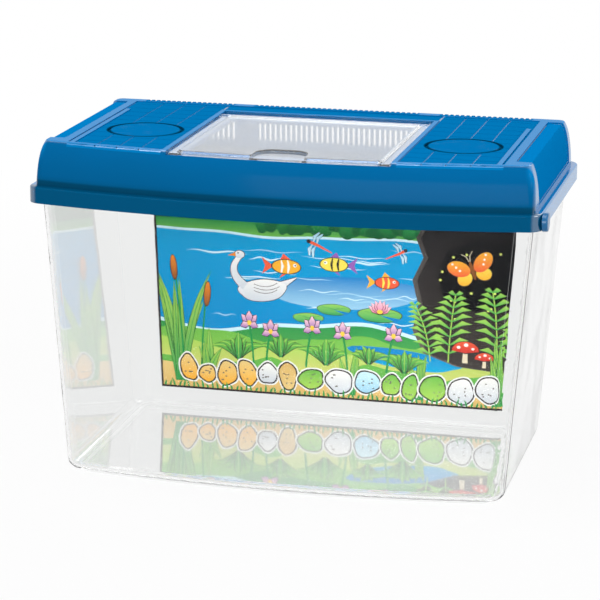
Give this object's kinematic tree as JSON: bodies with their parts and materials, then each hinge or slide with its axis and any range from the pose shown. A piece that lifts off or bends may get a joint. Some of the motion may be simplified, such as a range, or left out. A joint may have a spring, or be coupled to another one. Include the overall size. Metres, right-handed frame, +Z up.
{
  "type": "pet tank",
  "caption": "Clear bow-fronted pet tank with a vented lid, a lift-up feeding hatch and a picture card behind its back wall.",
  "frame": {"origin": "under the middle of the bounding box, on the plane that the foot ring stands on", "axes": "+X across the width to the right end as seen from the bowed front, +Y towards the flat back, +Z up"},
  "size_m": [0.374, 0.219, 0.247],
  "materials": {
    "clear_plastic": "clear glossy moulded plastic",
    "lid_plastic": "blue moulded plastic with gloss frames and matte panels",
    "hatch_plastic": "clear glossy moulded plastic, slightly milky",
    "cover_plastic": "blue moulded plastic, fine satin texture",
    "card": "printed glossy card with a white back",
    "stud_plastic": "blue moulded plastic, glossy"
  },
  "bodies": {
    "tank": {"tank": "clear_plastic", "picture_card": "card"},
    "lid": {"lid": "lid_plastic", "port_cover_left": "cover_plastic", "port_cover_right": "cover_plastic", "rim_stud": "stud_plastic"},
    "hatch": {"hatch": "hatch_plastic"}
  },
  "joints": [
    {"name": "lid_lift", "type": "slide", "parent": "tank", "child": "lid", "axis": [0, 0, 1], "range_m": [0, 0.06]},
    {"name": "hatch_hinge", "type": "hinge", "parent": "lid", "child": "hatch", "pos_m": [-0.002, 0.058, 0.24525], "axis": [-1, 0, 0], "range_deg": [0, 110]}
  ]
}
